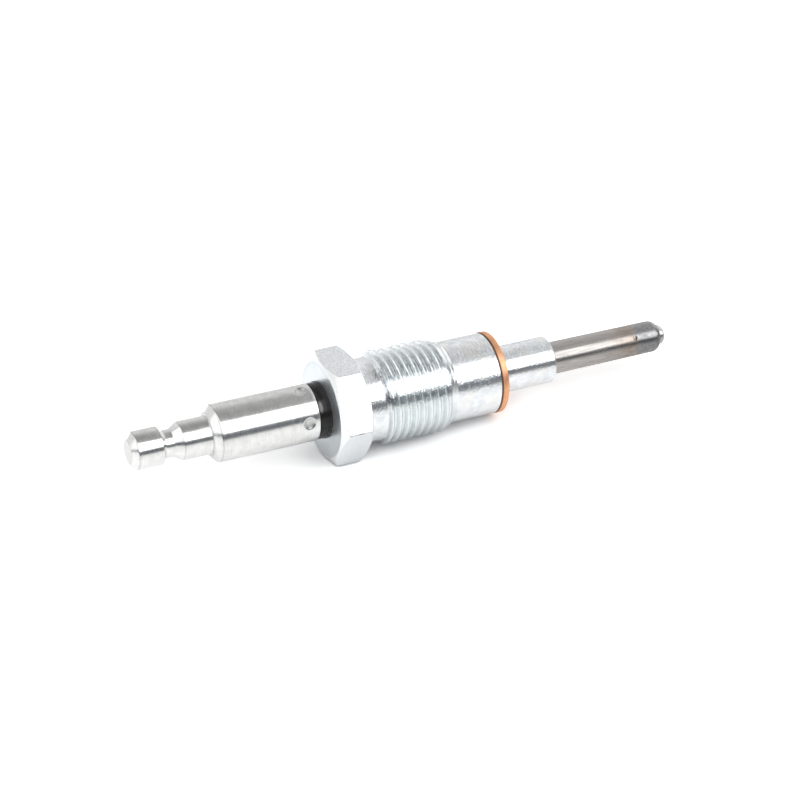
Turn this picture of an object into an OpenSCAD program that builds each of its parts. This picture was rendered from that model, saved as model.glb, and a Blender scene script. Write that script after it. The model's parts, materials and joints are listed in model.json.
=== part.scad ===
// Diesel glow plug: terminal, housing, copper ring and glow tube, with the rod, seals, powder and coils inside.
// The plug lies along X, with the glow tip towards +X and the terminal towards -X, on a flat of its hexagon.
// The origin is on the axis, in the plane of the sealing ring's front face, which seats in the cylinder head.

/* [Terminal] */
// Diameter of the button's flat end face
button_face_d = 3.5; // [2.5:0.1:4.5]
// Length of the chamfer on the button's end
button_chamfer_l = 0.85; // [0.4:0.05:1.5]
// Diameter of the button and of the pin behind the groove
pin_d = 5.7; // [5:0.1:6.2]
// Length of the button at its full diameter
button_l = 3.7; // [2.5:0.1:5]
// Length of the slope from the button down to the groove
groove_slope_l = 0.45; // [0.2:0.05:1]
// Diameter of the snap groove's floor
groove_d = 4.1; // [3.2:0.1:4.8]
// Length of the snap groove's floor
groove_l = 1.4; // [0.8:0.1:2.5]
// Length of the cone from the groove up to the pin
cone_l = 1.25; // [0.6:0.05:2]
// Length of the pin between the cone and the barrel
pin_l = 4.2; // [3:0.1:6]
// Diameter of the barrel's front face
barrel_face_d = 6.3; // [6.25:0.05:7.5]
// Length of the barrel's front shoulder
shoulder_l = 1.0; // [0.5:0.1:2]
// Diameter of the barrel
barrel_d = 8.55; // [8:0.05:9.5]
// Length of the barrel, with its shoulder
barrel_l = 15.9; // [13:0.1:20]
// Depth of the socket that takes the rod
socket_l = 10.5; // [7:0.1:12]
// Number of punched stakes around the barrel
stake_count = 5; // [2:1:6]
// Angle of the first stake from the top, about the axis
stake_turn = 8; // [-45:0.5:45]
// Distance of the stakes from the barrel's back end
stake_inset = 1.65; // [1.2:0.05:3]
// Diameter of a stake at the surface
stake_d = 1.8; // [1.2:0.1:2.2]
// Diameter of a stake's floor
stake_floor_d = 1.1; // [0.6:0.1:1.1]
// Depth of a stake
stake_depth = 0.45; // [0.2:0.05:0.8]

/* [Insulation] */
// Diameter of the insulating bush's flange
flange_d = 8.3; // [7.8:0.1:9.5]
// Thickness of the flange between the barrel and the hexagon
flange_t = 1.85; // [1.4:0.05:3]
// Rounding of the flange's front edge
flange_edge_r = 0.55; // [0.2:0.05:0.7]
// Diameter of the lip on the hexagon's side of the flange
lip_d = 8.5; // [8:0.1:9.5]
// Thickness of the lip
lip_t = 0.4; // [0.2:0.05:0.6]
// Length of the bush's collar inside the housing
collar_l = 3.4; // [2:0.1:5]

/* [Housing] */
// Width of the hexagon across its flats
hex_af = 15; // [14.75:0.25:18]
// Length of the hexagon
hex_l = 5.1; // [4:0.1:8]
// Diameter of the hexagon's round end faces
hex_face_d = 14.5; // [13.75:0.25:14.5]
// Angle of the chamfers on the hexagon's ends
hex_chamfer_angle = 30; // [20:1:40]
// Diameter of the neck between the hexagon and the thread
neck_d = 12.6; // [11.5:0.1:13]
// Length of the neck
neck_l = 2.6; // [1.5:0.1:5]
// Length of the cone from the neck up to the thread
lead_l = 0.5; // [0.2:0.1:1]
// Outer diameter of the thread
thread_d = 14; // [13.2:0.1:14.4]
// Length of the thread
thread_l = 9.2; // [7:0.1:14]
// Length of the run-out from the thread down to the shank
runout_l = 1.9; // [0.8:0.1:3]
// Diameter of the plain shank
shank_d = 12.2; // [11:0.1:12.6]
// Length of the plain shank, with its end chamfer
shank_l = 7.2; // [5:0.1:12]
// Chamfer on the shank's end
shank_chamfer = 0.15; // [0.05:0.05:0.6]
// Diameter of the nose
nose_d = 7.1; // [6.6:0.1:8]
// Length of the nose in front of the seat plane
nose_l = 9.3; // [6:0.1:14]
// Edge break on the nose's end
nose_chamfer = 0.2; // [0.1:0.05:0.4]
// Diameter of the counterbore that takes the bush's collar and the O-ring
seal_bore_d = 7; // [6.4:0.1:7.4]
// Diameter of the clearance bore around the rod
rod_bore_d = 5.6; // [5.2:0.1:6]

/* [Sealing ring] */
// Outer diameter of the copper ring
ring_d = 12.3; // [11.5:0.1:12.9]
// Thickness of the copper ring
ring_t = 1.1; // [0.8:0.05:2]
// Edge break on the ring's outside
ring_edge = 0.15; // [0.05:0.05:0.3]

/* [Glow tube] */
// Diameter of the tube where it is pressed into the nose
tube_d = 4.9; // [4.6:0.05:5.1]
// Diameter of the tube at its tip
tip_d = 4.75; // [4.4:0.05:4.9]
// Wall of the tube
tube_wall = 0.6; // [0.4:0.05:0.8]
// Length of the tube held inside the housing, back from the nose's end
press_l = 17.5; // [12:0.5:22]
// Length of the tube in front of the nose, up to its end face
tube_l = 19.4; // [16:0.1:26]
// Diameter of the flat on the tube's rounded end
tip_face_d = 2.35; // [2.2:0.05:3]
// Thickness of the tube's closed end
tip_t = 1.5; // [1:0.1:2.5]
// Diameter of the weld nub on the end
nub_d = 2.2; // [1.2:0.1:2.2]
// Height of the weld nub
nub_h = 0.45; // [0.2:0.05:0.8]
// Edge break on the weld nub
nub_edge = 0.2; // [0.05:0.05:0.2]

/* [Rod, seals and coils] */
// Diameter of the connecting rod
pole_d = 4; // [3.6:0.1:4.4]
// Diameter of the rod's front end, inside the tube
stub_d = 2.4; // [2:0.1:2.8]
// Diameter of the peg that carries the control coil
peg_d = 1.3; // [1:0.1:1.6]
// Length of the peg
peg_l = 1.8; // [1:0.1:3]
// Length of the tube seal inside the tube
plug_l = 2.5; // [1.5:0.1:4]
// Thickness of the tube seal's collar between the rod's shoulder and the tube
plug_collar_t = 0.8; // [0.5:0.1:1.5]
// Wire diameter of the control coil
control_wire_d = 0.5; // [0.3:0.05:0.6]
// Pitch of the control coil
control_pitch = 1.0; // [0.8:0.05:1.2]
// Number of turns of the control coil
control_turns = 10; // [6:1:12]
// Wire diameter of the heating coil
heating_wire_d = 0.4; // [0.3:0.05:0.5]
// Pitch of the heating coil
heating_pitch = 0.8; // [0.65:0.05:1]
// Number of turns of the heating coil
heating_turns = 10; // [6:1:12]

/* [Fits] */
// Gap between a pressed, moulded or packed piece and what holds it
fit_gap = 0.01; // [0.005:0.005:0.02]
// Room between the control coil's wire and the peg
coil_room = 0.08; // [0.05:0.01:0.12]

/* [Hidden] */

// Steps of a turned piece, of an arc in an outline, of a coil's turn and of its wire's section
turn_steps = 120;
arc_steps = 8;
coil_steps = 12;
wire_sides = 6;
// Overshoot of a cut past the face that it opens
through = 1;

// Places along the axis, from the seat back to the terminal
shank_x1 = -ring_t;
shank_x0 = shank_x1 - shank_l;
thread_x1 = shank_x0 - runout_l;
thread_x0 = thread_x1 - thread_l;
neck_x1 = thread_x0 - lead_l;
hex_x1 = neck_x1 - neck_l;
hex_x0 = hex_x1 - hex_l;
barrel_x1 = hex_x0 - flange_t;
barrel_x0 = barrel_x1 - barrel_l;
pin_x0 = barrel_x0 - pin_l;
groove_x1 = pin_x0 - cone_l;
groove_x0 = groove_x1 - groove_l;
button_x1 = groove_x0 - groove_slope_l;
button_x0 = button_x1 - button_l;
button_end_x = button_x0 - button_chamfer_l;
socket_x0 = barrel_x1 - socket_l;

// Places along the axis, from the seat forward to the glow tip
nose_x1 = nose_l;
tube_x0 = nose_x1 - press_l;
tube_x1 = nose_x1 + tube_l;
chamber_x1 = tube_x1 - tip_t;
tip_r = (tip_d - tip_face_d)/2;
plug_x0 = tube_x0 - plug_collar_t;
plug_x1 = tube_x0 + plug_l;

// Bores and fits
socket_r = pole_d/2 + fit_gap;
seal_bore_r = seal_bore_d/2;
tube_bore_r = tube_d/2 + fit_gap;
chamber_r = tube_d/2 - tube_wall;
o_ring_d = (seal_bore_d - pole_d)/2 - 2*fit_gap;
o_ring_x = hex_x0 + collar_l + fit_gap + o_ring_d/2;
seal_bore_x1 = o_ring_x + o_ring_d/2 + fit_gap;

// The coils end against the tube's closed end, and the rod reaches back from where they start
coil_r = peg_d/2 + control_wire_d/2 + coil_room;
heating_x1 = chamber_x1 - heating_wire_d/2 - fit_gap/2;
heating_x0 = heating_x1 - heating_turns*heating_pitch;
control_x0 = heating_x0 - control_turns*control_pitch;
stub_x1 = control_x0 - control_wire_d/2 - fit_gap;
peg_x1 = stub_x1 + peg_l;

// Points of an arc about [x, r], from one angle to another
function arc(x, r, radius, from, to) =
    [for (i = [0:arc_steps]) let (a = from + (to - from)*i/arc_steps) [x + radius*cos(a), r + radius*sin(a)]];

// Corners of one wire section at a turn angle, in the plane that holds the axis
function wire_section(x, wire_d, angle) =
    [for (k = [0:wire_sides - 1])
        let (a = 360*k/wire_sides, r = coil_r + wire_d/2*sin(a))
        [x + wire_d/2*cos(a), r*cos(angle), r*sin(angle)]];

// A solid turned about the X axis from an outline of [place along the axis, radius] points
module turned(outline) {
    rotate([0, 90, 0])
        rotate_extrude($fn = turn_steps)
            polygon([for (p = outline) [p[1], p[0]]]);
}

// A wire wound into a helix about the X axis, closed at both ends
module coil(x0, wire_d, pitch, turns) {
    rings = turns*coil_steps;
    points = [for (i = [0:rings]) each wire_section(x0 + pitch*i/coil_steps, wire_d, 360*i/coil_steps)];
    sides = [for (i = [0:rings - 1], k = [0:wire_sides - 1])
        let (a = i*wire_sides, b = a + wire_sides, next = (k + 1) % wire_sides)
        each [[a + k, b + k, b + next], [a + k, b + next, a + next]]];
    first = [for (k = [0:wire_sides - 1]) k];
    last = [for (k = [wire_sides - 1:-1:0]) rings*wire_sides + k];
    polyhedron(points = points, faces = concat(sides, [first], [last]), convexity = turns);
}

// Push-on button, groove, pin and barrel in one piece, staked around the rod in its socket
module terminal() {
    color("#d8d5cc")
    difference() {
        turned([
            [button_end_x, 0], [button_end_x, button_face_d/2], [button_x0, pin_d/2], [button_x1, pin_d/2],
            [groove_x0, groove_d/2], [groove_x1, groove_d/2], [pin_x0, pin_d/2], [barrel_x0, pin_d/2],
            [barrel_x0, barrel_face_d/2], [barrel_x0 + shoulder_l, barrel_d/2], [barrel_x1, barrel_d/2],
            [barrel_x1, socket_r], [socket_x0, socket_r], [socket_x0, 0],
        ]);
        for (k = [0:stake_count - 1])
            rotate([stake_turn + 360*k/stake_count, 0, 0])
                translate([barrel_x1 - stake_inset, 0, barrel_d/2 - stake_depth])
                    stake_cut();
    }
}

// Tapered recess of one stake, widening past the barrel's surface
module stake_cut() {
    widening = (stake_d - stake_floor_d)/stake_depth;
    cut_depth = stake_depth + through;
    cylinder(h = cut_depth, d1 = stake_floor_d, d2 = stake_floor_d + widening*cut_depth, $fn = turn_steps);
}

// Black flanged bush that keeps the terminal and the rod clear of the housing, with a thin lip on the hexagon
module insulating_bush() {
    flange_r = flange_d/2;
    color("#1c1b1b")
    turned(concat(
        [[barrel_x1, socket_r]],
        arc(barrel_x1 + flange_edge_r, flange_r - flange_edge_r, flange_edge_r, 180, 90),
        [
            [hex_x0 - lip_t, flange_r], [hex_x0 - lip_t, lip_d/2], [hex_x0, lip_d/2],
            [hex_x0, seal_bore_r - fit_gap], [hex_x0 + collar_l, seal_bore_r - fit_gap],
            [hex_x0 + collar_l, socket_r],
        ]
    ));
}

// Rubber seal between the rod and the housing, under the bush's collar
module o_ring() {
    color("#2a2a2a")
    translate([o_ring_x, 0, 0])
        rotate([0, 90, 0])
            rotate_extrude($fn = turn_steps)
                translate([(seal_bore_d + pole_d)/4, 0])
                    circle(d = o_ring_d, $fn = turn_steps);
}

// Hexagon with round chamfered ends and two of its flats level
module hexagon() {
    hex_mid = (hex_x0 + hex_x1)/2;
    peak_r = hex_face_d/2 + hex_l/2/tan(hex_chamfer_angle);
    intersection() {
        translate([hex_x0, 0, 0])
            rotate([0, 90, 0])
                rotate([0, 0, 30])
                    cylinder(h = hex_l, d = hex_af/cos(30), $fn = 6);
        turned([
            [hex_x0, 0], [hex_x0, hex_face_d/2], [hex_mid, peak_r], [hex_x1, hex_face_d/2], [hex_x1, 0],
        ]);
    }
}

// Hexagon, neck, thread, shank and nose in one piece, with its stepped bore; the thread is at its outer diameter
module housing() {
    color("#c3cad0")
    difference() {
        union() {
            hexagon();
            turned([
                [(hex_x0 + hex_x1)/2, 0], [(hex_x0 + hex_x1)/2, neck_d/2], [neck_x1, neck_d/2],
                [thread_x0, thread_d/2], [thread_x1, thread_d/2], [shank_x0, shank_d/2],
                [shank_x1 - shank_chamfer, shank_d/2], [shank_x1, shank_d/2 - shank_chamfer],
                [shank_x1, nose_d/2], [nose_x1 - nose_chamfer, nose_d/2], [nose_x1, nose_d/2 - nose_chamfer],
                [nose_x1, 0],
            ]);
        }
        turned([
            [hex_x0 - through, 0], [hex_x0 - through, seal_bore_r], [seal_bore_x1, seal_bore_r],
            [seal_bore_x1, rod_bore_d/2], [tube_x0, rod_bore_d/2], [tube_x0, tube_bore_r],
            [nose_x1 + through, tube_bore_r], [nose_x1 + through, 0],
        ]);
    }
}

// Copper ring on the nose, between the shank's end and the cylinder head
module sealing_ring() {
    color("#c8763c")
    turned([
        [shank_x1, nose_d/2 + fit_gap], [shank_x1, ring_d/2 - ring_edge], [shank_x1 + ring_edge, ring_d/2],
        [-ring_edge, ring_d/2], [0, ring_d/2 - ring_edge], [0, nose_d/2 + fit_gap],
    ]);
}

// Closed sheath with a rounded end and a weld nub, tapering a little from the nose to the tip
module glow_tube() {
    color("#857c76")
    turned(concat(
        [[tube_x0, chamber_r], [tube_x0, tube_d/2], [nose_x1, tube_d/2]],
        arc(tube_x1 - tip_r, tip_face_d/2, tip_r, 90, 0),
        [
            [tube_x1, nub_d/2], [tube_x1 + nub_h - nub_edge, nub_d/2], [tube_x1 + nub_h, nub_d/2 - nub_edge],
            [tube_x1 + nub_h, 0], [chamber_x1, 0], [chamber_x1, chamber_r],
        ]
    ));
}

// Rubber plug in the tube's open end, with a collar that keeps the rod's shoulder off the tube
module tube_seal() {
    color("#7a3b2e")
    turned([
        [plug_x0, stub_d/2 + fit_gap], [plug_x0, tube_d/2], [tube_x0, tube_d/2], [tube_x0, chamber_r - fit_gap],
        [plug_x1, chamber_r - fit_gap], [plug_x1, stub_d/2 + fit_gap],
    ]);
}

// Packed powder that fills the tube around the rod's end and the coils
module insulating_powder() {
    color("#e9e6dc")
    difference() {
        turned([
            [plug_x1, stub_d/2 + fit_gap], [plug_x1, chamber_r - fit_gap], [chamber_x1, chamber_r - fit_gap],
            [chamber_x1, 0], [peg_x1 + fit_gap, 0], [peg_x1 + fit_gap, peg_d/2 + fit_gap],
            [stub_x1 + fit_gap, peg_d/2 + fit_gap], [stub_x1 + fit_gap, stub_d/2 + fit_gap],
        ]);
        coil(control_x0, control_wire_d + 2*fit_gap, control_pitch, control_turns);
        coil(heating_x0, heating_wire_d + 2*fit_gap, heating_pitch, heating_turns);
    }
}

// Connecting rod from the terminal's socket to the peg inside the control coil
module inner_pole() {
    color("#b9b7b2")
    turned([
        [socket_x0 + fit_gap, 0], [socket_x0 + fit_gap, pole_d/2], [plug_x0, pole_d/2], [plug_x0, stub_d/2],
        [stub_x1, stub_d/2], [stub_x1, peg_d/2], [peg_x1, peg_d/2], [peg_x1, 0],
    ]);
}

// Coil next to the rod, whose resistance rises as it heats
module control_coil() {
    color("#9c8f6b")
    coil(control_x0, control_wire_d, control_pitch, control_turns);
}

// Coil at the tip, which carries on from the control coil and ends against the tube's closed end
module heating_coil() {
    color("#8a7f78")
    coil(heating_x0, heating_wire_d, heating_pitch, heating_turns);
}

terminal();
insulating_bush();
o_ring();
housing();
sealing_ring();
glow_tube();
tube_seal();
insulating_powder();
inner_pole();
control_coil();
heating_coil();
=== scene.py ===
# Looks of a diesel glow plug: finely turned pieces, metal finishes and a bright studio.
# Sizes are in millimetres, in the part's own frame, with +X towards the glow tip and +Z up.
# Meshes are in metres, and angles about the axis start at the top and turn right-handed about +X.
import json
import math

import bmesh
import bpy
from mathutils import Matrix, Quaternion, Vector


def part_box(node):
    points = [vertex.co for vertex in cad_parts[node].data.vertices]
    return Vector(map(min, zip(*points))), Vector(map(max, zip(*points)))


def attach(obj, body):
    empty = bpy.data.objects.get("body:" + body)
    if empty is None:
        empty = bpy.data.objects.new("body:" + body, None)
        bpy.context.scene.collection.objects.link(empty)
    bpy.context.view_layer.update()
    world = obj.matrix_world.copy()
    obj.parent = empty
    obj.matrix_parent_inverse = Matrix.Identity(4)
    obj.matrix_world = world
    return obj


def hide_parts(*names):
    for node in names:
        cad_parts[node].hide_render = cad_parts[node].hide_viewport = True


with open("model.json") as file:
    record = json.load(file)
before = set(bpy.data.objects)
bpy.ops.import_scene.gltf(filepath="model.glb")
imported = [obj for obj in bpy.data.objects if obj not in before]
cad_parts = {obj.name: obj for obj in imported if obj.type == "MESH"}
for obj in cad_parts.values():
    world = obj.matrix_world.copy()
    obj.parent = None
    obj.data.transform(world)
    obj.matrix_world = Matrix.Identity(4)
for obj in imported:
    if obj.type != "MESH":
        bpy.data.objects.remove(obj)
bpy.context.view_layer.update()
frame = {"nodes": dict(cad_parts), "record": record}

MM = 0.001
BODY = "root"


# Places along the axis that the frame gives
def ends(node):
    """First and last place of a CAD node along the axis."""
    low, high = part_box(node)
    return low.x / MM, high.x / MM


def pin_ends(mount):
    """First and last place of a pin mount along the axis."""
    middle = mount["pos_m"][0] / MM
    half = mount["dims"]["length_mm"] / 2
    return middle - half, middle + half


mounts = {mount["name"]: mount for mount in frame["record"]["mounts"]}
button_end_x, barrel_x1 = ends("terminal")
button_x0, button_x1 = pin_ends(mounts["terminal"])
bush_x0, bush_x1 = ends("insulating_bush")
hex_x0, nose_x1 = ends("housing")
thread_x0, thread_x1 = pin_ends(mounts["thread"])
ring_x0, ring_x1 = ends("sealing_ring")
tube_x0, nub_x1 = ends("glow_tube")
rod_x0 = ends("inner_pole")[0]
seal_bore_x1 = ends("o_ring")[1]
powder_x1 = ends("insulating_powder")[1]

# Terminal
BUTTON_FACE_R = 1.75
BUTTON_FACE_EDGE = 0.1
BUTTON_EDGE = 0.12
BUTTON_BACK_EDGE = 0.1
GROOVE_SLOPE_L = 0.45
GROOVE_R = 2.05
GROOVE_L = 1.4
GROOVE_ROUNDING = 0.5
CONE_L = 1.25
PIN_R = mounts["terminal"]["dims"]["r_mm"]
PIN_L = 4.2
PIN_EDGE = 0.08
BARREL_FACE_R = 3.15
BARREL_FACE_EDGE = 0.12
SHOULDER_L = 1.0
SHOULDER_ROUNDING = 0.35
BARREL_R = 4.275
BARREL_EDGE = 0.1
SOCKET_R = 2.01
STAKE_COUNT = 5
STAKE_TURN = math.radians(8)
STAKE_INSET = 1.65
STAKE_RIM_R = 0.95
STAKE_DEPTH = 0.32
STAKE_SOFT = 0.05
STAKE_BAND = 1.2
STAKE_ROW = 0.06

# Insulating bush
FLANGE_R = 4.15
FLANGE_EDGE = 0.55
LIP_R = 4.25
LIP_T = 0.4
LIP_ROOT = 0.03
LIP_EDGE = 0.04
COLLAR_R = 3.49
COLLAR_EDGE = 0.1

# Housing
HEX_HALF = 7.5
HEX_L = 5.1
HEX_FACE_R = 7.25
HEX_CHAMFER = math.radians(30)
HEX_CORNER = 0.2
HEX_EDGE = 0.1
HEX_SIDES = 6
HALF_FLAT = math.pi / HEX_SIDES
NECK_R = 6.3
NECK_ROUNDING = 0.3
NECK_EDGE = 0.1
LEAD_L = 0.5
LEAD_EDGE = 0.08
THREAD_R = mounts["thread"]["dims"]["r_mm"]
THREAD_PITCH = 1.25
THREAD_DEPTH = 0.5413 * THREAD_PITCH
THREAD_CREST = 1 / 8
THREAD_ROOT = 1 / 4
THREAD_SOFT = 0.14
THREAD_TURN = 40 / 360
THREAD_ROW = 0.05
THREAD_EDGE = 0.15
RUNOUT_L = 1.9
SHANK_R = 6.1
SHANK_ROUNDING = 0.25
SHANK_CHAMFER = 0.15
SHANK_EDGE = 0.06
SEAT_EDGE = 0.05
NOSE_R = 3.55
NOSE_CHAMFER = 0.2
NOSE_EDGE = 0.1
NOSE_FACE_EDGE = 0.08
SEAL_BORE_R = 3.5
ROD_BORE_R = 2.8
TUBE_BORE_R = 2.46
TUBE_BORE_EDGE = 0.06

# Copper ring
RING_R = 6.15
RING_EDGE = 0.15
RING_BORE_R = 3.56
RING_BORE_EDGE = 0.05

# Glow tube
TUBE_R = 2.45
TUBE_EDGE = 0.1
TIP_R = 2.375
TIP_SLOPE = math.radians(30)
TIP_ROUNDING = 1.3
NUB_R = 1.5
NUB_H = 0.9
NUB_EDGE = 0.6
NUB_ROOT = 0.04
CHAMBER_R = 1.85

# Steps of a turn, of a rounded corner and of the hexagon's flats and corners
TURN_STEPS = 300
ARC_STEPS = 5
FLAT_STEPS = 34
CORNER_STEPS = 4

# Weight of large flat faces in the shading, and slack when radii are compared
FLAT_FACE_WEIGHT = 80
SLACK = 1e-4

# Places along the axis that follow from these sizes
groove_x0 = button_x1 + GROOVE_SLOPE_L
groove_x1 = groove_x0 + GROOVE_L
pin_x0 = groove_x1 + CONE_L
barrel_x0 = pin_x0 + PIN_L
shoulder_x1 = barrel_x0 + SHOULDER_L
stake_x = barrel_x1 - STAKE_INSET
lip_x0 = hex_x0 - LIP_T
hex_x1 = hex_x0 + HEX_L
neck_x1 = thread_x0 - LEAD_L
shank_x0 = thread_x1 + RUNOUT_L
tube_x1 = nub_x1 - NUB_H


# Outlines and meshes
def around(x, r, angle):
    """The point at a place along the axis, at a distance from it and at an angle about it."""
    return x, -r * math.sin(angle), r * math.cos(angle)


def rounded(corners):
    """Points of an outline whose corners are (place, radius, rounding), each corner rounded by an arc."""
    outline = []
    for i, (x, r, rounding) in enumerate(corners):
        corner = Vector((x, r))
        if not rounding:
            outline.append(corner)
            continue
        before = (Vector(corners[i - 1][:2]) - corner).normalized()
        after = (Vector(corners[(i + 1) % len(corners)][:2]) - corner).normalized()
        half = before.angle(after) / 2
        centre = corner + (before + after).normalized() * rounding / math.sin(half)
        start = corner + before * rounding / math.tan(half) - centre
        end = corner + after * rounding / math.tan(half) - centre
        for k in range(ARC_STEPS + 1):
            outline.append(centre + rounding * start.slerp(end, k / ARC_STEPS))
    return outline


def with_rows(outline, start, end, step):
    """The outline with a point every step along the axis between two places."""
    count = round((end - start) / step)
    rows = [start + (end - start) * i / count for i in range(count + 1)]
    dense = []
    for a, b in zip(outline, outline[1:]):
        dense.append(a)
        if b.x - a.x > step:
            dense += [a.lerp(b, (x - a.x) / (b.x - a.x)) for x in rows if a.x < x < b.x]
    return dense + outline[-1:]


def soft_min(a, b, blend):
    """The smaller of two values, with the change between them rounded."""
    share = max(blend - abs(a - b), 0) / blend
    return min(a, b) - share * share * blend / 4


def turned_mesh(name, angles, outline_at, closed):
    """A mesh around the axis, from its outline at each angle; a closed outline ends where it starts."""
    columns = [[(p.x, p.y) for p in outline_at(angle)] for angle in angles]
    points = []
    rings = []
    for k, (_, first_r) in enumerate(columns[0]):
        count = len(angles) if first_r > 0 else 1
        rings.append(range(len(points), len(points) + count))
        for angle, column in zip(angles[:count], columns):
            points.append([c * MM for c in around(*column[k], angle)])
    faces = []
    for ring, following in zip(rings, rings[1:] + rings[:1] * closed):
        for j in range(len(angles)):
            k = (j + 1) % len(angles)
            loop = [ring[j % len(ring)], ring[k % len(ring)]]
            loop += [following[k % len(following)], following[j % len(following)]]
            faces.append(list(dict.fromkeys(loop)))
    mesh = bpy.data.meshes.new(name)
    mesh.from_pydata(points, [], faces)
    shape = bmesh.new()
    shape.from_mesh(mesh)
    bmesh.ops.recalc_face_normals(shape, faces=shape.faces)
    shape.to_mesh(mesh)
    shape.free()
    mesh.shade_smooth()
    return mesh


def turned(name, finish, angles, outline_at, closed):
    """A turned piece that stands for the CAD node of its name."""
    mesh = turned_mesh(name, angles, outline_at, closed)
    mesh.materials.append(finish)
    piece = bpy.data.objects.new(name + "_finish", mesh)
    bpy.context.scene.collection.objects.link(piece)
    flatten = piece.modifiers.new("flat_faces_first", "WEIGHTED_NORMAL")
    flatten.weight = FLAT_FACE_WEIGHT
    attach(piece, BODY)
    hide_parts(name)


def even_angles():
    """Angles of a plain turned piece."""
    return [math.tau * i / TURN_STEPS for i in range(TURN_STEPS)]


# Nodes, where a ramp is (value before, value after, where it starts, where it ends)
NOISE_LOW = 0.3
NOISE_HIGH = 0.7
SPOT_RAMP = (1, 0, 0.4, 1)
LINE_CORE = 1 / 3


class Graph:
    """Short ways to add and link the nodes of a material or of the world."""

    def __init__(self, tree):
        self.tree = tree

    def put(self, socket, value):
        """Links an output to a socket, or sets its number, vector or colour."""
        if isinstance(value, bpy.types.NodeSocket):
            self.tree.links.new(value, socket)
        elif socket.type == "RGBA":
            socket.default_value = (*value, 1)
        else:
            socket.default_value = value

    def node(self, kind, settings=None, **inputs):
        """A new node with its settings and its named inputs."""
        node = self.tree.nodes.new(kind)
        for name, value in (settings or {}).items():
            setattr(node, name, value)
        for name, value in inputs.items():
            self.put(node.inputs[name.replace("_", " ")], value)
        return node

    def numbered(self, kind, inputs, settings=None):
        """A new node with its inputs by their number and its settings."""
        node = self.node(kind, settings)
        for index, value in inputs.items():
            self.put(node.inputs[index], value)
        return node

    def math(self, operation, first, second):
        """The result of an operation on two numbers."""
        node = self.numbered("ShaderNodeMath", {0: first, 1: second}, {"operation": operation})
        return node.outputs[0]

    def times(self, first, second):
        """The product of two numbers."""
        return self.math("MULTIPLY", first, second)

    def past(self, value, place):
        """How far a value lies past a place."""
        return self.math("SUBTRACT", value, place)

    def most(self, first, *others):
        """The largest of some numbers."""
        for other in others:
            first = self.math("MAXIMUM", first, other)
        return first

    def length(self, vector):
        """The length of a vector."""
        return self.node("ShaderNodeVectorMath", {"operation": "LENGTH"}, Vector=vector).outputs["Value"]

    def millimetres(self, place, axis):
        """The part of a place along an axis, in millimetres."""
        return self.math("DIVIDE", self.node("ShaderNodeSeparateXYZ", Vector=place).outputs[axis], MM)

    def ramp(self, factor, low, high, start=NOISE_LOW, end=NOISE_HIGH, way="SMOOTHSTEP"):
        """A number that goes from low to high as a factor goes from start to end."""
        inputs = {"Value": factor, "From_Min": start, "From_Max": end, "To_Min": low, "To_Max": high}
        return self.node("ShaderNodeMapRange", {"interpolation_type": way}, **inputs).outputs[0]

    def mix(self, factor, first, second):
        """A number between two numbers."""
        inputs = {0: factor, 2: first, 3: second}
        return self.numbered("ShaderNodeMix", inputs, {"data_type": "FLOAT"}).outputs[0]

    def blend(self, factor, first, second):
        """A colour between two colours."""
        inputs = {0: factor, 6: first, 7: second}
        return self.numbered("ShaderNodeMix", inputs, {"data_type": "RGBA"}).outputs[2]


class Finish(Graph):
    """A material with one Principled shader."""

    def __init__(self, name, metallic):
        self.material = bpy.data.materials.new(name)
        self.material.use_nodes = True
        super().__init__(self.material.node_tree)
        self.shader = self.tree.nodes["Principled BSDF"]
        self.shader.inputs["Metallic"].default_value = metallic
        self.place = self.node("ShaderNodeTexCoord").outputs["Object"]

    def scaled(self, scale, shift=(0, 0, 0)):
        """The place in the part, scaled along X, Y and Z and then shifted."""
        mapping = self.node("ShaderNodeMapping", Vector=self.place, Scale=scale, Location=shift)
        return mapping.outputs["Vector"]

    def noise(self, x_size, y_size, z_size, detail):
        """Noise whose patches have these sizes along X, Y and Z, with this much detail."""
        place = self.scaled([1 / (size * MM) for size in (x_size, y_size, z_size)])
        return self.node("ShaderNodeTexNoise", Vector=place, Scale=1.0, Detail=detail).outputs[0]

    def along(self, axis="X"):
        """The place along an axis of the part, in millimetres."""
        return self.millimetres(self.place, axis)

    def from_axis(self):
        """The distance from the part's own axis, in millimetres."""
        return self.length(self.scaled((0, 1 / MM, 1 / MM)))

    def spot(self, centre, size):
        """1 in the middle of an oval spot, and 0 outside its rim."""
        shift = [-c / s for c, s in zip(centre, size)]
        return self.ramp(self.length(self.scaled([1 / (s * MM) for s in size], shift)), *SPOT_RAMP)

    def lines(self, places, half_width):
        """1 on thin rings around the axis at these places, and 0 beside them."""
        x = self.along()
        offs = [self.math("ABSOLUTE", self.past(x, place), 0) for place in places]
        return self.most(*[self.ramp(off, 1, 0, LINE_CORE * half_width, half_width) for off in offs])

    def varied(self, noise, colours):
        """A colour that a noise varies between two colours."""
        return self.blend(self.ramp(noise, 0, 1), *colours)

    def bump(self, height, depth, below=None):
        """A bumped normal with this depth in millimetres, on top of another one if it is given."""
        inputs = {"Height": height, "Distance": depth * MM, "Strength": 1.0}
        if below is not None:
            inputs["Normal"] = below
        return self.node("ShaderNodeBump", **inputs).outputs[0]

    def finish(self, colour, roughness, normal):
        """Links the shader and returns the material."""
        for name, value in (("Base Color", colour), ("Roughness", roughness), ("Normal", normal)):
            self.put(self.shader.inputs[name], value)
        return self.material


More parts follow.
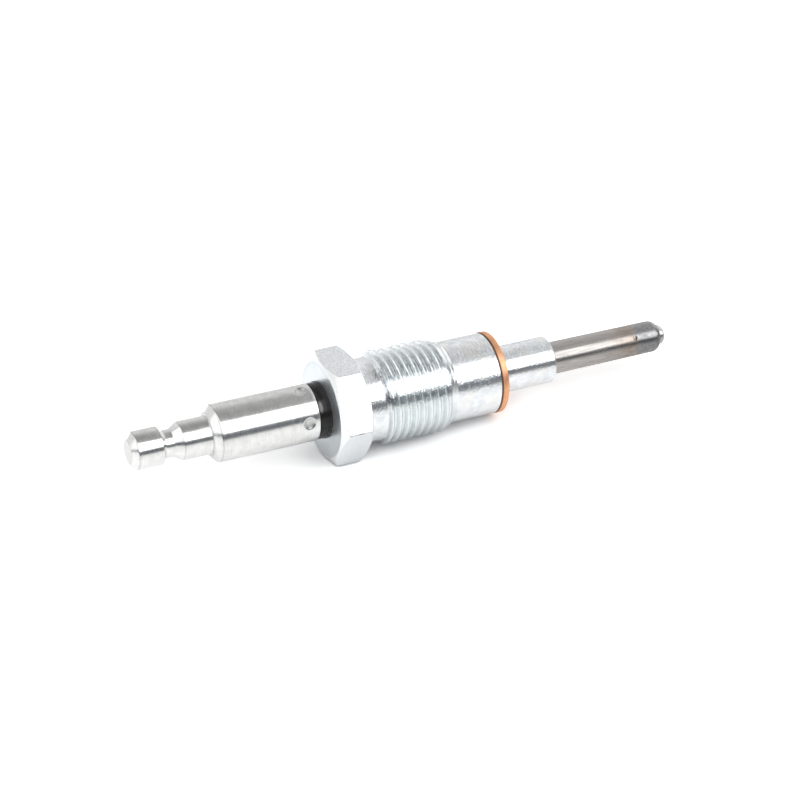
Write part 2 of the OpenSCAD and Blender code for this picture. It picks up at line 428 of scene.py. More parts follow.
# Nickel of the terminal
NICKEL_RINGS = (0.14, 1.6, 1.6, 3)
NICKEL_WAVES = (0.16, 0.6, 0.6, 3)
NICKEL_CLOUDS = (1.2, 0.9, 0.9, 4)
NICKEL_PLATE = ((0.85, 0.85, 0.835), (0.76, 0.765, 0.755))
NICKEL_RING_COLOUR = (0.60, 0.61, 0.61)
NICKEL_RING_RAMP = (0, 0.3, 0.45, 0.7)
NICKEL_FACE_COLOUR = (0.66, 0.66, 0.65)
NICKEL_FACE_RAMP = (1, 0, 0.02, 0.08)
# Painted shade in thin dark lines along the terminal's edges and creases
NICKEL_EDGE_SHADE_COLOUR = (0.36, 0.37, 0.37)
NICKEL_EDGE_SHADE_W = 0.16
NICKEL_EDGE_SHADE_RAMP = (0.15, 0.5)
NICKEL_ROUGHNESS = (0.13, 0.22)
NICKEL_RING_DEPTH = 0.006
NICKEL_WAVE_DEPTH = 0.01
# Painted shade around the stakes' rims, and darker stake floors that are partly dull punched metal and partly
# painted shade
STAKE_SHADE_SIZE = [1.3 * STAKE_RIM_R] * 3
STAKE_SHADE_COLOUR = (0.36, 0.36, 0.355)
STAKE_DISH_SIZE = [STAKE_RIM_R] * 3
STAKE_DISH_COLOURS = ((0.80, 0.80, 0.78), (0.64, 0.64, 0.625))
STAKE_ROUGHNESS = 0.42


def nickel(edges, stakes):
    """Bright turned metal with fine rings, painted shade in thin lines along its edges, and dull stakes whose
    rims carry painted shade and whose darker floors are partly dull punched metal and partly painted shade.
    """
    f = Finish("terminal_nickel", 1.0)
    rings = f.noise(*NICKEL_RINGS)
    waves = f.noise(*NICKEL_WAVES)
    clouds = f.noise(*NICKEL_CLOUDS)
    ringed = f.blend(f.ramp(rings, *NICKEL_RING_RAMP), f.varied(clouds, NICKEL_PLATE), NICKEL_RING_COLOUR)
    on_face = f.ramp(f.past(f.along(), button_end_x), *NICKEL_FACE_RAMP)
    faced = f.blend(on_face, ringed, NICKEL_FACE_COLOUR)
    # Painted shade: thin dark lines along the edges and creases
    edge_shade = f.times(f.lines(edges, NICKEL_EDGE_SHADE_W), f.ramp(waves, *NICKEL_EDGE_SHADE_RAMP))
    edge_shaded = f.blend(edge_shade, faced, NICKEL_EDGE_SHADE_COLOUR)
    # Painted shade around the stakes' rims and, in part, on their floors
    shaded = f.most(*[f.spot(stake, STAKE_SHADE_SIZE) for stake in stakes])
    dished = f.most(*[f.spot(stake, STAKE_DISH_SIZE) for stake in stakes])
    rimmed = f.blend(shaded, edge_shaded, STAKE_SHADE_COLOUR)
    colour = f.blend(dished, rimmed, f.varied(waves, STAKE_DISH_COLOURS))
    roughness = f.mix(dished, f.ramp(rings, *NICKEL_ROUGHNESS), STAKE_ROUGHNESS)
    normal = f.bump(rings, NICKEL_RING_DEPTH, f.bump(waves, NICKEL_WAVE_DEPTH))
    return f.finish(colour, roughness, normal)


# Zinc plate of the housing
ZINC_METALLIC = 0.95
ZINC_CLOUDS = (1.3, 1.0, 1.0, 5)
ZINC_STAINS = (2.6, 2.2, 2.2, 2)
ZINC_GRAIN = (0.28, 0.32, 0.32, 5)
ZINC_RINGS = (0.12, 1.0, 1.0, 3)
ZINC_WAVES = (0.18, 0.45, 0.45, 3)
ZINC_PLATE = ((0.93, 0.955, 0.975), (0.77, 0.80, 0.825))
ZINC_STAIN_COLOUR = (0.90, 0.885, 0.85)
ZINC_STAIN_RAMP = (0, 0.5, 0.45, 0.65)
ZINC_ROUGHNESS = (0.12, 0.2)
ZINC_RING_DEPTH = 0.006
ZINC_WAVE_DEPTH = 0.036
LOW_SIDE_RAMP = (1, 0, 2, 4)

# Zinc plate on the hexagon
ON_HEXAGON_RAMP = (1, 0, -0.1, 0)
FLAT_COLOURS = ((0.94, 0.965, 0.98), (0.775, 0.80, 0.82))
MOTTLE_COLOUR = (0.83, 0.865, 0.885)
MOTTLE_RAMP = (0, 0.55)
ON_FACE_RAMP = (1, 0, 0.03, 0.08)
FACE_COLOURS = ((0.84, 0.885, 0.92), (0.77, 0.82, 0.86))
# Painted shade at the rim of the hexagon's face
FACE_RIM_SHADE_COLOUR = (0.58, 0.61, 0.64)
FACE_RIM_SHADE_RAMP = (0, 0.4, -1.3, 0)
FACE_ROUGHNESS = 0.32
# Painted highlight on the hexagon's chamfer
CHAMFER_HIGHLIGHT_COLOUR = (0.96, 0.98, 0.985)
CHAMFER_HIGHLIGHT_RAMP = (1, 0, 0.03, 0.08)
# Painted shade along the hexagon's low corners
CORNER_LINE_RAMP = (0, 1, -0.1, -0.04)
CORNER_LINE_BREAKS = (0.2, 0.9)

# Zinc plate on the thread and the shank
THREAD_COLOUR = (0.85, 0.905, 0.91)
THREAD_TINT = 0.5
# Painted shade: broken dark strokes on the thread's upper flanks
STROKE_SHADE_COLOUR = (0.30, 0.33, 0.40)
STROKE_RAMP = (0, 0.8, 0.48, 0.64)
STROKE_LOW_RAMP = (0, 1, 4.8, 5.3)
STROKE_HIGH_RAMP = (1, 0, 5.7, 6.9)
# Painted shade in the thread's roots
ROOT_RAMP = (0.1, 0, -THREAD_DEPTH, -0.15)
CRACKLE_START_RAMP = (0, 1, -0.2, 0.4)
CRACKLE_END_L = 1.5
CRACKLE_DEPTH = 0.03

# Painted shade in the thread's roots and along the hexagon's low corners, and two dark spots, on the zinc
# plate
SPOT_R = 6.7
LEAD_SPOT = around(thread_x0 + 0.05, SPOT_R, math.radians(61))
LEAD_SPOT_SIZE = (0.9, 1.2, 1.6)
LEAD_SPOT_BREAKS = (0.6, 1)
UPPER_SPOT = around(thread_x0 - 0.45, SPOT_R, math.radians(27))
UPPER_SPOT_SIZE = (1.2, 1.4, 1.4)
UPPER_SPOT_BREAKS = (0.1, 0.7)
SHADE_AND_SPOT_COLOUR = (0.20, 0.215, 0.235)


def hexagon_colour(f, clouds, grain, on_face, low_side):
    """Grained flats, mottled on the low side, with a plain face that has painted shade at its rim, and a
    painted highlight on the chamfer.
    """
    past_rim = f.past(f.from_axis(), HEX_FACE_R)
    # Painted shade towards the face's rim
    face = f.blend(f.ramp(past_rim, *FACE_RIM_SHADE_RAMP), f.varied(clouds, FACE_COLOURS), FACE_RIM_SHADE_COLOUR)
    plain = f.blend(on_face, f.varied(grain, FLAT_COLOURS), face)
    mottled = f.blend(f.times(low_side, f.ramp(clouds, *MOTTLE_RAMP)), plain, MOTTLE_COLOUR)
    # Painted highlight on the chamfer
    chamfer_x = f.times(past_rim, math.tan(HEX_CHAMFER))
    off_chamfer = f.past(f.past(f.along(), hex_x0), chamfer_x)
    return f.blend(f.ramp(off_chamfer, *CHAMFER_HIGHLIGHT_RAMP), mottled, CHAMFER_HIGHLIGHT_COLOUR)


def thread_colour(f, plate, rings, threaded):
    """Plate that is cooler on the thread, with painted shade in broken dark strokes on the thread's upper
    side.
    """
    z = f.along("Z")
    tinted = f.blend(f.times(threaded, THREAD_TINT), plate, THREAD_COLOUR)
    upper_side = f.times(f.ramp(z, *STROKE_LOW_RAMP), f.ramp(z, *STROKE_HIGH_RAMP))
    # Painted shade in broken strokes on the upper flanks
    strokes = f.times(f.times(threaded, upper_side), f.ramp(rings, *STROKE_RAMP))
    return f.blend(strokes, tinted, STROKE_SHADE_COLOUR)


def zinc_shade_and_spots(f, clouds, waves, threaded, low_side):
    """Share of painted shade in the thread's roots and along the hexagon's low corners, and of two dark
    spots.
    """
    r = f.from_axis()
    # Painted shade in the thread's roots and along the hexagon's low corners
    root = f.times(threaded, f.ramp(f.past(r, THREAD_R), *ROOT_RAMP))
    past_corner = f.past(r, HEX_HALF / math.cos(HALF_FLAT))
    line = f.times(f.ramp(past_corner, *CORNER_LINE_RAMP), f.ramp(clouds, *CORNER_LINE_BREAKS))
    lead = f.times(f.spot(LEAD_SPOT, LEAD_SPOT_SIZE), f.ramp(waves, *LEAD_SPOT_BREAKS))
    upper = f.times(f.spot(UPPER_SPOT, UPPER_SPOT_SIZE), f.ramp(waves, *UPPER_SPOT_BREAKS))
    return f.most(root, f.times(line, low_side), lead, upper)


def zinc():
    """Blue-white zinc plate, mottled and finely ringed, with a crackled shank."""
    f = Finish("zinc_plate", ZINC_METALLIC)
    x = f.along()
    clouds = f.noise(*ZINC_CLOUDS)
    grain = f.noise(*ZINC_GRAIN)
    rings = f.noise(*ZINC_RINGS)
    waves = f.noise(*ZINC_WAVES)
    stained = f.ramp(f.noise(*ZINC_STAINS), *ZINC_STAIN_RAMP)
    plate = f.blend(stained, f.varied(clouds, ZINC_PLATE), ZINC_STAIN_COLOUR)
    low_side = f.ramp(f.along("Z"), *LOW_SIDE_RAMP)
    on_face = f.ramp(f.past(x, hex_x0), *ON_FACE_RAMP)
    on_hexagon = f.ramp(f.past(x, hex_x1), *ON_HEXAGON_RAMP)
    threaded = f.times(f.ramp(x, 0, 1, neck_x1, thread_x0), f.ramp(x, 1, 0, thread_x1, shank_x0))
    hexagon = hexagon_colour(f, clouds, grain, on_face, low_side)
    clean = f.blend(on_hexagon, thread_colour(f, plate, rings, threaded), hexagon)
    colour = f.blend(zinc_shade_and_spots(f, clouds, waves, threaded, low_side), clean, SHADE_AND_SPOT_COLOUR)
    roughness = f.mix(on_face, f.ramp(clouds, *ZINC_ROUGHNESS), FACE_ROUGHNESS)
    on_shank = f.ramp(f.past(x, shank_x0), *CRACKLE_START_RAMP)
    before_ring = f.ramp(x, 1, 0, ring_x0 - CRACKLE_END_L, ring_x1)
    crackle = f.times(grain, f.times(on_shank, before_ring))
    uneven = f.bump(crackle, CRACKLE_DEPTH, f.bump(waves, ZINC_WAVE_DEPTH))
    return f.finish(colour, roughness, f.bump(rings, ZINC_RING_DEPTH, uneven))


# Copper of the sealing ring
COPPER_RINGS = (0.12, 3, 3, 3)
COPPER_PATCHES = (0.7, 0.7, 0.7, 4)
COPPER_COLOURS = ((0.88, 0.47, 0.275), (0.78, 0.385, 0.21))
# Painted shade at the ring's edge by the gap to the shank
COPPER_GAP_SHADE_COLOUR = (0.11, 0.06, 0.04)
COPPER_GAP_SHADE_RAMP = (0.85, 0, 0.1, 0.22)
COPPER_ROUGHNESS = (0.36, 0.46)
COPPER_RING_DEPTH = 0.004


def copper():
    """Satin annealed copper with faint rings and painted shade at its edge on the shank's side, by the gap to
    the shank.
    """
    f = Finish("copper", 1.0)
    rings = f.noise(*COPPER_RINGS)
    bright = f.varied(f.noise(*COPPER_PATCHES), COPPER_COLOURS)
    # Painted shade along the edge on the shank's side
    gap_shade = f.ramp(f.past(f.along(), ring_x0), *COPPER_GAP_SHADE_RAMP)
    colour = f.blend(gap_shade, bright, COPPER_GAP_SHADE_COLOUR)
    return f.finish(colour, f.ramp(rings, *COPPER_ROUGHNESS), f.bump(rings, COPPER_RING_DEPTH))


# Sheath of the glow tube, with its ramps along the axis measured from the end of the nub
SHEATH_STREAKS = (3, 0.16, 0.16, 3)
SHEATH_PATCHES = (1.3, 0.6, 0.6, 4)
SHEATH_MOTTLE = (0.5, 0.4, 0.4, 4)
SHEATH_SCRATCHES = (0.25, 0.4, 0.4, 3)
SHEATH_GREY = ((0.50, 0.475, 0.46), (0.37, 0.35, 0.335))
SHEATH_BROWN = ((0.42, 0.355, 0.305), (0.26, 0.21, 0.18))
SHEATH_HEAT_RAMP = (0, 0.8, -12.15, -5.15)
SHEATH_POLISH = ((0.35, 0.35, 0.357), (0.245, 0.245, 0.25))
SHEATH_POLISH_RAMP = (0, 1, -5.95, -5.05)
SHEATH_POLISH_WANDER = (-0.6, 0.6)
NUB_COLOUR = (0.62, 0.62, 0.61)
NUB_RAMP = (0, 1, -NUB_H, -NUB_H + 0.1)
TUBE_MARK = around(nub_x1 - 5.6, 2.4, math.radians(52))
TUBE_MARK_SIZE = (0.5, 0.5, 0.65)
TUBE_MARK_COLOUR = (0.012, 0.011, 0.01)
TUBE_MARK_BREAKS = (0.1, 1, 0.4, 0.55)
SHEATH_ROUGHNESS = (0.2, 0.29)
SHEATH_POLISH_ROUGHNESS = (0.2, 0.3)
SHEATH_STREAK_DEPTH = 0.005
SHEATH_MOTTLE_DEPTH = 0.003


def sheath():
    """Ground heat-resistant tube, streaked along its length, browned by heat and polished at its end."""
    f = Finish("sheath", 1.0)
    from_end = f.past(f.along(), nub_x1)
    streaks = f.noise(*SHEATH_STREAKS)
    patches = f.noise(*SHEATH_PATCHES)
    mottle = f.noise(*SHEATH_MOTTLE)
    brown = f.varied(patches, SHEATH_BROWN)
    heated = f.blend(f.ramp(from_end, *SHEATH_HEAT_RAMP), f.varied(streaks, SHEATH_GREY), brown)
    wandering = f.math("ADD", from_end, f.ramp(patches, *SHEATH_POLISH_WANDER))
    polished = f.ramp(wandering, *SHEATH_POLISH_RAMP)
    bright_end = f.blend(f.ramp(from_end, *NUB_RAMP), f.varied(mottle, SHEATH_POLISH), NUB_COLOUR)
    clean = f.blend(polished, heated, bright_end)
    scratched = f.ramp(f.noise(*SHEATH_SCRATCHES), *TUBE_MARK_BREAKS)
    mark = f.times(f.spot(TUBE_MARK, TUBE_MARK_SIZE), scratched)
    colour = f.blend(mark, clean, TUBE_MARK_COLOUR)
    ground = f.ramp(streaks, *SHEATH_ROUGHNESS)
    roughness = f.mix(polished, ground, f.ramp(mottle, *SHEATH_POLISH_ROUGHNESS))
    normal = f.bump(streaks, SHEATH_STREAK_DEPTH, f.bump(mottle, SHEATH_MOTTLE_DEPTH))
    return f.finish(colour, roughness, normal)


# Plastic of the insulating bush
PLASTIC_SPECULAR = 0.3
PLASTIC_RINGS = (0.12, 3, 3, 3)
PLASTIC_GRAIN = (0.2, 0.2, 0.2, 3)
PLASTIC_COLOURS = ((0.010, 0.009, 0.009), (0.016, 0.014, 0.014))
PLASTIC_ROUGHNESS = (0.14, 0.24)
PLASTIC_RING_DEPTH = 0.004
# Painted highlight: a pale streak on the bush's edge
BUSH_GLINT = around(bush_x0 + 0.4, 4.0, math.radians(52))
BUSH_GLINT_SIZE = (0.4, 1.0, 1.2)
BUSH_GLINT_COLOUR = (0.24, 0.235, 0.24)


def black_plastic():
    """Moulded black plastic with a soft gloss, faint rings and a painted highlight on its edge."""
    f = Finish("black_bush", 0.0)
    f.shader.inputs["Specular IOR Level"].default_value = PLASTIC_SPECULAR
    rings = f.noise(*PLASTIC_RINGS)
    black = f.varied(f.noise(*PLASTIC_GRAIN), PLASTIC_COLOURS)
    # Painted highlight on the bush's edge
    colour = f.blend(f.spot(BUSH_GLINT, BUSH_GLINT_SIZE), black, BUSH_GLINT_COLOUR)
    return f.finish(colour, f.ramp(rings, *PLASTIC_ROUGHNESS), f.bump(rings, PLASTIC_RING_DEPTH))


# Finishes of the pieces that are sealed inside, each from a lighter to a darker colour
MATT_ROUGHNESS = (0.7, 0.9)
MATT_DEPTH = 0.01
DRAWN_STREAKS = (3, 0.1, 0.1, 3)
DRAWN_ROUGHNESS = (0.28, 0.42)
DRAWN_DEPTH = 0.003
RUBBER_GRAIN = (0.15, 0.15, 0.15, 4)
POWDER_GRAIN = (0.2, 0.2, 0.2, 4)
BLACK_RUBBER = ((0.035, 0.035, 0.035), (0.02, 0.02, 0.02))
RED_RUBBER = ((0.24, 0.06, 0.035), (0.15, 0.035, 0.02))
POWDER = ((0.86, 0.84, 0.78), (0.72, 0.70, 0.65))
ROD_STEEL = ((0.68, 0.67, 0.65), (0.55, 0.54, 0.53))
NICKEL_WIRE = ((0.66, 0.62, 0.52), (0.52, 0.48, 0.4))
HEATER_WIRE = ((0.45, 0.42, 0.40), (0.34, 0.31, 0.3))


def matt(name, colours, grain_noise):
    """A matt finish with a grain between two colours."""
    f = Finish(name, 0.0)
    grain = f.noise(*grain_noise)
    roughness = f.ramp(grain, *MATT_ROUGHNESS)
    return f.finish(f.varied(grain, colours), roughness, f.bump(grain, MATT_DEPTH))


def drawn_metal(name, colours):
    """Plain drawn metal with streaks along the axis."""
    f = Finish(name, 1.0)
    streaks = f.noise(*DRAWN_STREAKS)
    roughness = f.ramp(streaks, *DRAWN_ROUGHNESS)
    return f.finish(f.varied(streaks, colours), roughness, f.bump(streaks, DRAWN_DEPTH))


# Pieces that stand for the visible CAD nodes
def terminal():
    """Button, groove, pin and barrel with its punched stakes."""
    corners = [
        (button_end_x, 0, 0), (button_end_x, BUTTON_FACE_R, BUTTON_FACE_EDGE),
        (button_x0, PIN_R, BUTTON_EDGE), (button_x1, PIN_R, BUTTON_BACK_EDGE),
        (groove_x0, GROOVE_R, GROOVE_ROUNDING), (groove_x1, GROOVE_R, PIN_EDGE),
        (pin_x0, PIN_R, PIN_EDGE), (barrel_x0, PIN_R, PIN_EDGE),
        (barrel_x0, BARREL_FACE_R, BARREL_FACE_EDGE), (shoulder_x1, BARREL_R, SHOULDER_ROUNDING),
        (barrel_x1, BARREL_R, BARREL_EDGE), (barrel_x1, SOCKET_R, 0),
        (rod_x0, SOCKET_R, 0), (rod_x0, 0, 0),
    ]
    outline = with_rows(rounded(corners), stake_x - STAKE_BAND, stake_x + STAKE_BAND, STAKE_ROW)

    def dent(x, angle):
        """Depth of the nearest stake at a place on the barrel."""
        step = math.tau / STAKE_COUNT
        turn = (angle - STAKE_TURN + step / 2) % step - step / 2
        reach = math.hypot(x - stake_x, BARREL_R * turn) / STAKE_RIM_R
        return -soft_min(0, STAKE_DEPTH * (reach * reach - 1), STAKE_SOFT)

    def outline_at(angle):
        """The outline with the stakes' dents in the barrel."""
        return [p - Vector((0, dent(p.x, angle))) if p.y > BARREL_R - SLACK else p for p in outline]

    edges = [button_x0, button_x1, pin_x0, barrel_x0, shoulder_x1]
    turns = [STAKE_TURN + math.tau * i / STAKE_COUNT for i in range(STAKE_COUNT)]
    finish = nickel(edges, [around(stake_x, BARREL_R, turn) for turn in turns])
    turned("terminal", finish, even_angles(), outline_at, False)


def insulating_bush():
    """Black flanged bush between the terminal and the hexagon, with a thin lip on the hexagon."""
    outline = rounded([
        (bush_x0, SOCKET_R, 0), (bush_x0, FLANGE_R, FLANGE_EDGE), (lip_x0, FLANGE_R, LIP_ROOT),
        (lip_x0, LIP_R, LIP_EDGE), (hex_x0, LIP_R, LIP_EDGE), (hex_x0, COLLAR_R, 0),
        (bush_x1, COLLAR_R, COLLAR_EDGE), (bush_x1, SOCKET_R, 0),
    ])
    turned("insulating_bush", black_plastic(), even_angles(), lambda angle: outline, True)


def corner_start():
    """Angle from the middle of a flat to where the hexagon's corner rounding starts."""
    return math.atan((HEX_HALF - HEX_CORNER) * math.tan(HALF_FLAT) / HEX_HALF)


def hex_angles():
    """Angles that follow the hexagon's flats and crowd into its corners."""
    edge = corner_start()
    stretches = [
        (-HALF_FLAT, -edge, CORNER_STEPS),
        (-edge, edge, FLAT_STEPS),
        (edge, HALF_FLAT, CORNER_STEPS),
    ]
    sector = [a + (b - a) * i / steps for a, b, steps in stretches for i in range(steps)]
    return [2 * k * HALF_FLAT + angle for k in range(HEX_SIDES) for angle in sector]


def hex_radius(angle):
    """Radius of the hexagon's flat or rounded corner at an angle."""
    off_flat = abs((angle + HALF_FLAT) % (2 * HALF_FLAT) - HALF_FLAT)
    if off_flat <= corner_start():
        return HEX_HALF / math.cos(off_flat)
    middle = (HEX_HALF - HEX_CORNER) / math.cos(HALF_FLAT)
    off_corner = HALF_FLAT - off_flat
    return middle * math.cos(off_corner) + math.sqrt(HEX_CORNER**2 - (middle * math.sin(off_corner))**2)


def thread_radius(x, angle):
    """Radius of the helical thread at a place."""
    share = (x - thread_x0) / THREAD_PITCH - angle / math.tau + THREAD_TURN
    off_root = abs(2 * (share % 1) - 1)
    flank = (off_root - THREAD_ROOT) / (1 - THREAD_ROOT - THREAD_CREST)
    height = -soft_min(0, -soft_min(1, flank, THREAD_SOFT), THREAD_SOFT)
    return THREAD_R - THREAD_DEPTH * (1 - height)


def housing():
    """Hexagon, neck, thread, shank and nose, with the stepped bore."""
    after_hex = [
        (neck_x1, NECK_R, NECK_EDGE), (thread_x0, THREAD_R, LEAD_EDGE), (thread_x1, THREAD_R, THREAD_EDGE),
        (shank_x0, SHANK_R, SHANK_ROUNDING), (ring_x0 - SHANK_CHAMFER, SHANK_R, SHANK_EDGE),
        (ring_x0, SHANK_R - SHANK_CHAMFER, SEAT_EDGE), (ring_x0, NOSE_R, SEAT_EDGE),
        (nose_x1 - NOSE_CHAMFER, NOSE_R, NOSE_EDGE), (nose_x1, NOSE_R - NOSE_CHAMFER, NOSE_FACE_EDGE),
        (nose_x1, TUBE_BORE_R, TUBE_BORE_EDGE), (tube_x0, TUBE_BORE_R, 0), (tube_x0, ROD_BORE_R, 0),
        (seal_bore_x1, ROD_BORE_R, 0), (seal_bore_x1, SEAL_BORE_R, 0),
    ]

    def outline_at(angle):
        """The outline with the hexagon's radius and the thread's groove at an angle."""
        r = hex_radius(angle)
        chamfer_l = (r - HEX_FACE_R) * math.tan(HEX_CHAMFER)
        hexagon = [
            (hex_x0, SEAL_BORE_R, HEX_EDGE), (hex_x0, HEX_FACE_R, HEX_EDGE),
            (hex_x0 + chamfer_l, r, HEX_EDGE), (hex_x1 - chamfer_l, r, HEX_EDGE),
            (hex_x1, HEX_FACE_R, HEX_EDGE), (hex_x1, NECK_R, NECK_ROUNDING),
        ]
        outline = with_rows(rounded(hexagon + after_hex), neck_x1, shank_x0, THREAD_ROW)
        for p in outline:
            if neck_x1 < p.x < shank_x0 and p.y > SEAL_BORE_R:
                p.y = min(p.y, thread_radius(p.x, angle))
        return outline

    turned("housing", zinc(), hex_angles(), outline_at, True)


def sealing_ring():
    """Copper ring with rounded edges on the nose."""
    outline = rounded([
        (ring_x0, RING_BORE_R, RING_BORE_EDGE), (ring_x0, RING_R, RING_EDGE),
        (ring_x1, RING_R, RING_EDGE), (ring_x1, RING_BORE_R, RING_BORE_EDGE),
    ])
    turned("sealing_ring", copper(), even_angles(), lambda angle: outline, True)


def glow_tube():
    """Closed sheath with a rounded end and a weld nub."""
    corner_x = tube_x1 - (TIP_R - NUB_R) * math.tan(TIP_SLOPE)
    outline = rounded([
        (nub_x1, 0, 0), (nub_x1, NUB_R, NUB_EDGE), (tube_x1, NUB_R, NUB_ROOT),
        (corner_x, TIP_R, TIP_ROUNDING), (nose_x1, TUBE_R, 0), (tube_x0, TUBE_R, TUBE_EDGE),
        (tube_x0, CHAMBER_R, 0), (powder_x1, CHAMBER_R, 0), (powder_x1, 0, 0),
    ])
    turned("glow_tube", sheath(), even_angles(), lambda angle: outline, False)


def dress_inner_pieces():
    """Finishes of the CAD pieces that are sealed inside."""
    finishes = {
        "o_ring": matt("black_rubber", BLACK_RUBBER, RUBBER_GRAIN),
        "tube_seal": matt("red_rubber", RED_RUBBER, RUBBER_GRAIN),
        "insulating_powder": matt("powder", POWDER, POWDER_GRAIN),
        "inner_pole": drawn_metal("rod_steel", ROD_STEEL),
        "control_coil": drawn_metal("nickel_wire", NICKEL_WIRE),
        "heating_coil": drawn_metal("heater_wire", HEATER_WIRE),
    }
    for node, finish in finishes.items():
        materials = frame["nodes"][node].data.materials
        materials.clear()
        materials.append(finish)


# Studio, by the parts of a direction of length 1: x to the tip's side, y to the back and z up
BOX_LIGHT_RAMP = (1.32, 2.5, -0.1, 0.3)
BOX_LOW_LEFT_RAMP = (0.05, 0.36, -1.0, -0.55)
BOX_LOW_RIGHT = 0.24
BOX_LOW_RIGHT_TURN = (0.5, 0.9)
BOX_LEAN_RAMP = (-1.5, 0.414, -0.95, 0.2, "LINEAR")
BOX_SOFT = 0.03
NEAR_HORIZON = (0.145, 0.16, 0.178)
CEILING_RAMP = (0.33, 0.83, 0.34, 0.47)
FAR_WALL_LEFT = 0.86
FAR_WALL_LEFT_TURN = (-0.3, 0.2)
FAR_WALL_RIGHT_RAMP = (0.75, 1.15, 0.3, 0.65)
FAR_TO_CEILING_RAMP = (0, 1, 0.5, 1.0)
NEAR_TO_CEILING_RAMP = (0, 1, 0.4, 0.7)
NEAR_TO_FAR_RAMP = (0, 1, 0.0, 0.3)
SHOWN_BACKGROUND = (1, 1, 1)


def soft_box(g, x, y, z):
    """1 inside the soft box on the near side, whose lower edge and lean change along x."""
    low_left = g.ramp(x, *BOX_LOW_LEFT_RAMP)
    low_edge = g.ramp(x, low_left, BOX_LOW_RIGHT, *BOX_LOW_RIGHT_TURN)
    above = g.ramp(g.past(z, low_edge), 0, 1, -BOX_SOFT, BOX_SOFT)
    lean = g.times(z, g.ramp(x, *BOX_LEAN_RAMP))
    below = g.ramp(g.math("ADD", y, lean), 1, 0, -BOX_SOFT, BOX_SOFT)
    return g.times(above, below)


def studio():
    """World light with a wide soft box on the near side, a pale far wall and a dimmer ceiling."""
    world = bpy.data.worlds.new("studio")
    bpy.context.scene.world = world
    world.use_nodes = True
    g = Graph(world.node_tree)
    direction = g.node("ShaderNodeTexCoord").outputs["Generated"]
    x, y, z = g.node("ShaderNodeSeparateXYZ", Vector=direction).outputs
    ceiling = g.ramp(x, *CEILING_RAMP)
    far_wall = g.ramp(x, FAR_WALL_LEFT, g.ramp(x, *FAR_WALL_RIGHT_RAMP), *FAR_WALL_LEFT_TURN)
    far_side = g.mix(g.ramp(z, *FAR_TO_CEILING_RAMP), far_wall, ceiling)
    near_side = g.blend(g.ramp(z, *NEAR_TO_CEILING_RAMP), NEAR_HORIZON, ceiling)
    room = g.blend(g.ramp(y, *NEAR_TO_FAR_RAMP), near_side, far_side)
    lit = g.blend(soft_box(g, x, y, z), room, g.ramp(x, *BOX_LIGHT_RAMP))
    shown = g.blend(g.node("ShaderNodeLightPath").outputs["Is Camera Ray"], lit, SHOWN_BACKGROUND)
    g.put(world.node_tree.nodes["Background"].inputs["Color"], shown)


# Floor, whose ramps follow the place on it in millimetres or the share of open sky above it
FLOOR_SIZE = 4000
FLOOR_GAP = 0.01
FLOOR_SHOWN = 1.4
FLOOR_NEAR_RAMP = (0.98, 0.34, 0, -150, "LINEAR")
FLOOR_TIP_RAMP = (1, 0.35, 30, 75)
CONTACT_SHADOW_RAMP = (0.55, 1, 0.05, 0.35)
GLOW_RAMP = (0, 0.15, 0.5, 0.85)
SKY_REACH = 10
SKY_SAMPLES = 4


def floor_finish():
    """Pale paint with a painted contact shadow, clear from below; its fading, a painted darker reflection,
    and its glow show only on the plug.
    """
    material = bpy.data.materials.new("floor")
    material.use_nodes = True
    g = Graph(material.node_tree)
    rays = g.node("ShaderNodeLightPath").outputs
    mirrored = g.most(rays["Is Glossy Ray"], rays["Is Transmission Ray"])
    place = g.node("ShaderNodeTexCoord").outputs["Object"]
    towards_lens = g.ramp(g.millimetres(place, "Y"), *FLOOR_NEAR_RAMP)
    beyond_tip = g.ramp(g.millimetres(place, "X"), *FLOOR_TIP_RAMP)
    sky = g.node("ShaderNodeAmbientOcclusion", {"samples": SKY_SAMPLES}, Distance=SKY_REACH * MM)
    open_sky = sky.outputs["AO"]
    # Painted darker reflection: apart from camera rays, the paint fades towards the lens and past the tip
    shade = g.mix(rays["Is Camera Ray"], g.times(towards_lens, beyond_tip), FLOOR_SHOWN)
    # Painted contact shadow: the paint darkens where little sky is open above it
    paint = g.node("ShaderNodeBsdfDiffuse", Color=g.times(g.ramp(open_sky, *CONTACT_SHADOW_RAMP), shade)).outputs[0]
    glow = g.node("ShaderNodeEmission", Strength=g.times(mirrored, g.ramp(open_sky, *GLOW_RAMP))).outputs[0]
    above = g.numbered("ShaderNodeAddShader", {0: paint, 1: glow}).outputs[0]
    under = g.node("ShaderNodeBsdfTransparent").outputs[0]
    behind = g.node("ShaderNodeNewGeometry").outputs["Backfacing"]
    one_sided = g.numbered("ShaderNodeMixShader", {0: behind, 1: above, 2: under}).outputs[0]
    g.put(material.node_tree.nodes["Material Output"].inputs["Surface"], one_sided)
    return material


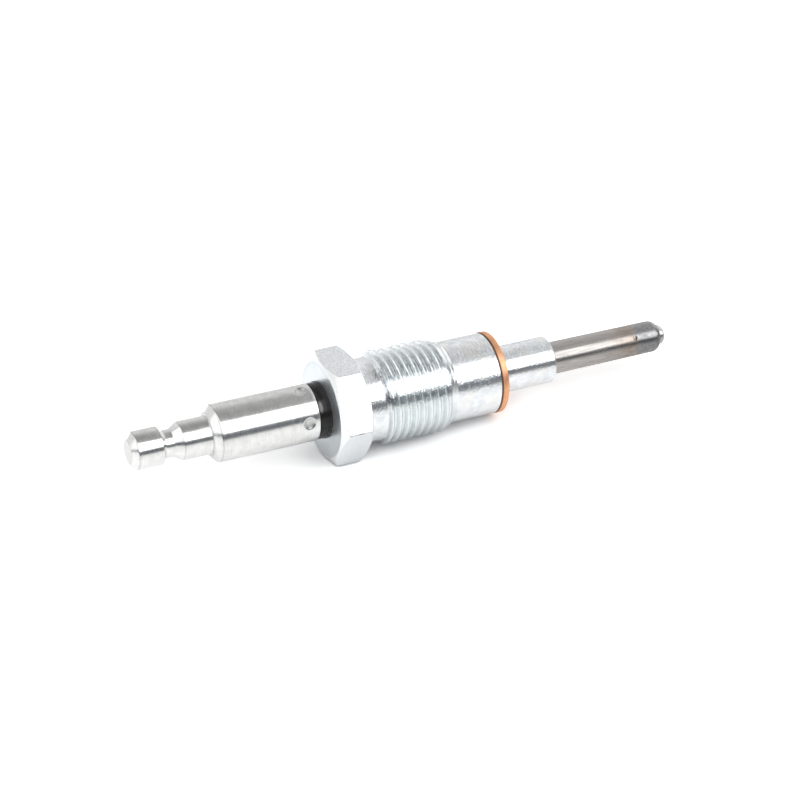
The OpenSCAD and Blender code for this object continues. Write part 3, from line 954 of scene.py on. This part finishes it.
def floor():
    """Floor under the hexagon's edge and the thread's end, which the plug rests on."""
    hex_back_x = hex_x1 - (HEX_HALF - HEX_FACE_R) * math.tan(HEX_CHAMFER)
    slope = math.atan((HEX_HALF - THREAD_R) / (thread_x1 - hex_back_x))
    half = FLOOR_SIZE / 2 * MM
    corners = [(-half, -half, 0), (half, -half, 0), (half, half, 0), (-half, half, 0)]
    mesh = bpy.data.meshes.new("floor")
    mesh.from_pydata(corners, [], [(0, 1, 2, 3)])
    mesh.materials.append(floor_finish())
    plane = bpy.data.objects.new("floor", mesh)
    plane.location = Vector((hex_back_x, 0, -HEX_HALF - FLOOR_GAP)) * MM
    plane.rotation_euler = (0, -slope, 0)
    bpy.context.scene.collection.objects.link(plane)


# Camera at the photograph's angle
CAMERA_TARGET = (-14.93, 0, -1.42)
CAMERA_DISTANCE = 367.66
CAMERA_AZIMUTH = math.radians(-25.73)
CAMERA_ELEVATION = math.radians(31.0)
CAMERA_ROLL = math.radians(1.333)
CAMERA_LENS = 112.5
CAMERA_SENSOR = 36
CAMERA_CLIP = 10


def camera():
    """Long-lens camera above the near side, looking at the thread."""
    back = Vector((
        math.sin(CAMERA_AZIMUTH) * math.cos(CAMERA_ELEVATION),
        -math.cos(CAMERA_AZIMUTH) * math.cos(CAMERA_ELEVATION),
        math.sin(CAMERA_ELEVATION),
    ))
    lens = bpy.data.cameras.new("camera")
    lens.lens = CAMERA_LENS
    lens.sensor_width = CAMERA_SENSOR
    lens.clip_start = CAMERA_CLIP * MM
    seat = bpy.data.objects.new("camera", lens)
    seat.rotation_mode = "QUATERNION"
    seat.rotation_quaternion = (-back).to_track_quat("-Z", "Y") @ Quaternion((0, 0, 1), CAMERA_ROLL)
    seat.location = (Vector(CAMERA_TARGET) + back * CAMERA_DISTANCE) * MM
    bpy.context.scene.collection.objects.link(seat)
    bpy.context.scene.camera = seat


bpy.context.scene.view_settings.view_transform = "Standard"
terminal()
insulating_bush()
housing()
sealing_ring()
glow_tube()
dress_inner_pieces()
studio()
floor()
camera()
